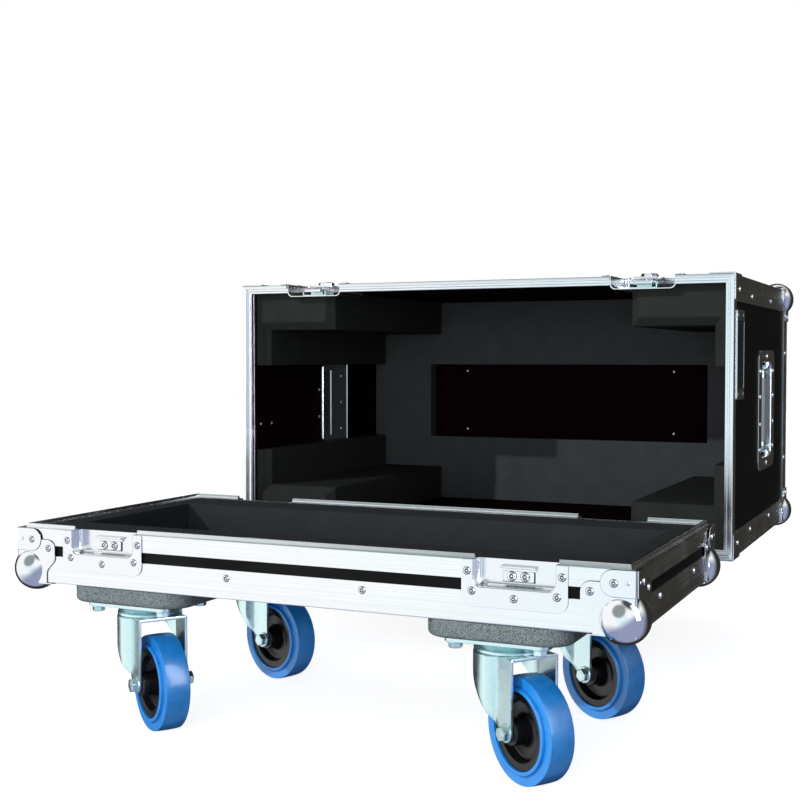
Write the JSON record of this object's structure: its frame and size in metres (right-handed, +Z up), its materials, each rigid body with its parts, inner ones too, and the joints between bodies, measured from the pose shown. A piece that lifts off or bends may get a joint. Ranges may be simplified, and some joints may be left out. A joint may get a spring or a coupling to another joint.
{
  "type": "guitar amplifier flight case",
  "caption": "Road case for a guitar amplifier head: a low foam-lined tray on swivel castors, and a lift-off hood with butterfly latches, recessed handles and ball corners.",
  "frame": {"origin": "on the floor under the middle of the opened case, tray in front and hood behind", "axes": "+X to the right along the case's width, +Y back from the tray to the hood's crown, +Z up"},
  "size_m": [0.6934, 0.9154, 0.4991],
  "materials": {
    "laminated_plywood": "black laminate with a fine pebble grain",
    "aluminium_extrusion": "mill-finish extrusion with fine draw lines",
    "zinc_steel": "bright zinc plate with a pale cold tint",
    "polished_steel": "polished nickel plate",
    "foam": "charcoal closed-cell foam with a cut face",
    "castor_board": "charcoal grained board with eased edges",
    "black_nylon": "moulded black nylon",
    "blue_tyre": "smooth blue elastic rubber",
    "handle_grip": "zinc rod with a grey moulded grip",
    "label_metal": "bare satin plate with a dark sunk field"
  },
  "bodies": {
    "root": {"tray_panel": "laminated_plywood", "tray_lower_angle": "aluminium_extrusion", "tray_rim": "aluminium_extrusion", "tray_foam": "foam", "tray_corner_front_left": "polished_steel", "tray_corner_front_right": "polished_steel", "tray_corner_rear_left": "polished_steel", "tray_corner_rear_right": "polished_steel", "latch_keeper_front_left": "zinc_steel", "latch_keeper_front_right": "zinc_steel", "latch_keeper_rear_left": "zinc_steel", "latch_keeper_rear_right": "zinc_steel", "castor_board_front_left": "castor_board", "castor_board_front_right": "castor_board", "castor_board_rear_left": "castor_board", "castor_board_rear_right": "castor_board", "castor_plate_front_left": "zinc_steel", "castor_plate_front_right": "zinc_steel", "castor_plate_rear_left": "zinc_steel", "castor_plate_rear_right": "zinc_steel"},
    "swivel_front_left": {"castor_fork_front_left": "zinc_steel"},
    "swivel_front_right": {"castor_fork_front_right": "zinc_steel"},
    "swivel_rear_left": {"castor_fork_rear_left": "zinc_steel"},
    "swivel_rear_right": {"castor_fork_rear_right": "zinc_steel"},
    "wheel_front_left": {"castor_hub_front_left": "black_nylon", "castor_tyre_front_left": "blue_tyre"},
    "wheel_front_right": {"castor_hub_front_right": "black_nylon", "castor_tyre_front_right": "blue_tyre"},
    "wheel_rear_left": {"castor_hub_rear_left": "black_nylon", "castor_tyre_rear_left": "blue_tyre"},
    "wheel_rear_right": {"castor_hub_rear_right": "black_nylon", "castor_tyre_rear_right": "blue_tyre"},
    "hood": {"hood_panel": "laminated_plywood", "hood_angles": "aluminium_extrusion", "hood_foam": "foam", "mouth_rail_left": "aluminium_extrusion", "mouth_rail_right": "aluminium_extrusion", "mouth_rail_front": "aluminium_extrusion", "mouth_rail_rear": "aluminium_extrusion", "hood_corner_front_left": "polished_steel", "hood_corner_front_right": "polished_steel", "hood_corner_rear_left": "polished_steel", "hood_corner_rear_right": "polished_steel", "latch_dish_front_left": "zinc_steel", "latch_dish_front_right": "zinc_steel", "latch_dish_rear_left": "zinc_steel", "latch_dish_rear_right": "zinc_steel", "handle_dish_left": "zinc_steel", "handle_dish_right": "zinc_steel", "label_plate": "label_metal"},
    "wing_front_left": {"latch_wing_front_left": "zinc_steel"},
    "wing_front_right": {"latch_wing_front_right": "zinc_steel"},
    "wing_rear_left": {"latch_wing_rear_left": "zinc_steel"},
    "wing_rear_right": {"latch_wing_rear_right": "zinc_steel"},
    "hook_front_left": {"latch_hook_front_left": "zinc_steel"},
    "hook_front_right": {"latch_hook_front_right": "zinc_steel"},
    "hook_rear_left": {"latch_hook_rear_left": "zinc_steel"},
    "hook_rear_right": {"latch_hook_rear_right": "zinc_steel"},
    "bail_left": {"handle_bail_left": "handle_grip"},
    "bail_right": {"handle_bail_right": "handle_grip"}
  },
  "joints": [
    {"name": "hood_swing", "type": "hinge", "parent": "root", "child": "hood", "pos_m": [0, -0.0801, 0.1215], "axis": [1, 0, 0], "range_deg": [0, 90]},
    {"name": "swivel_front_left", "type": "hinge", "parent": "root", "child": "swivel_front_left", "pos_m": [-0.2038, -0.3955, 0.115], "axis": [0, 0, 1], "continuous": true},
    {"name": "swivel_front_right", "type": "hinge", "parent": "root", "child": "swivel_front_right", "pos_m": [0.2038, -0.3955, 0.115], "axis": [0, 0, 1], "continuous": true},
    {"name": "swivel_rear_left", "type": "hinge", "parent": "root", "child": "swivel_rear_left", "pos_m": [-0.2038, -0.1608, 0.115], "axis": [0, 0, 1], "continuous": true},
    {"name": "swivel_rear_right", "type": "hinge", "parent": "root", "child": "swivel_rear_right", "pos_m": [0.2038, -0.1608, 0.115], "axis": [0, 0, 1], "continuous": true},
    {"name": "wheel_front_left", "type": "hinge", "parent": "swivel_front_left", "child": "wheel_front_left", "pos_m": [-0.17702, -0.41356, 0.05], "axis": [0.5592, 0.829, 0], "continuous": true},
    {"name": "wheel_front_right", "type": "hinge", "parent": "swivel_front_right", "child": "wheel_front_right", "pos_m": [0.23026, -0.41403, 0.05], "axis": [0.5736, 0.8192, 0], "continuous": true},
    {"name": "wheel_rear_left", "type": "hinge", "parent": "swivel_rear_left", "child": "wheel_rear_left", "pos_m": [-0.17345, -0.17185, 0.05], "axis": [0.342, 0.9397, 0], "continuous": true},
    {"name": "wheel_rear_right", "type": "hinge", "parent": "swivel_rear_right", "child": "wheel_rear_right", "pos_m": [0.23205, -0.17646, 0.05], "axis": [0.4848, 0.8746, 0], "continuous": true},
    {"name": "wing_front_left", "type": "hinge", "parent": "hood", "child": "wing_front_left", "pos_m": [-0.2261, 0.049, 0.4886], "axis": [0, 0, 1], "range_deg": [0, 180]},
    {"name": "wing_front_right", "type": "hinge", "parent": "hood", "child": "wing_front_right", "pos_m": [0.2261, 0.049, 0.4886], "axis": [0, 0, 1], "range_deg": [0, 180]},
    {"name": "wing_rear_left", "type": "hinge", "parent": "hood", "child": "wing_rear_left", "pos_m": [-0.2261, 0.049, 0.1505], "axis": [0, 0, -1], "range_deg": [0, 180]},
    {"name": "wing_rear_right", "type": "hinge", "parent": "hood", "child": "wing_rear_right", "pos_m": [0.2261, 0.049, 0.1505], "axis": [0, 0, -1], "range_deg": [0, 180]},
    {"name": "hook_front_left", "type": "slide", "parent": "hood", "child": "hook_front_left", "axis": [0, -1, 0], "range_m": [0, 0.01401]},
    {"name": "hook_front_right", "type": "slide", "parent": "hood", "child": "hook_front_right", "axis": [0, -1, 0], "range_m": [0, 0.01401]},
    {"name": "hook_rear_left", "type": "slide", "parent": "hood", "child": "hook_rear_left", "axis": [0, -1, 0], "range_m": [0, 0.01401]},
    {"name": "hook_rear_right", "type": "slide", "parent": "hood", "child": "hook_rear_right", "axis": [0, -1, 0], "range_m": [0, 0.01401]},
    {"name": "bail_left", "type": "hinge", "parent": "hood", "child": "bail_left", "pos_m": [-0.3304, 0.2882, 0.31955], "axis": [0, 0, -1], "range_deg": [0, 100]},
    {"name": "bail_right", "type": "hinge", "parent": "hood", "child": "bail_right", "pos_m": [0.3304, 0.2882, 0.31955], "axis": [0, 0, 1], "range_deg": [0, 100]}
  ],
  "couplings": [
    {"joint": "hook_front_left", "follows": "wing_front_left", "m_per_rad": 0.0044563},
    {"joint": "hook_front_right", "follows": "wing_front_right", "m_per_rad": 0.0044563},
    {"joint": "hook_rear_left", "follows": "wing_rear_left", "m_per_rad": 0.0044563},
    {"joint": "hook_rear_right", "follows": "wing_rear_right", "m_per_rad": 0.0044563}
  ]
}
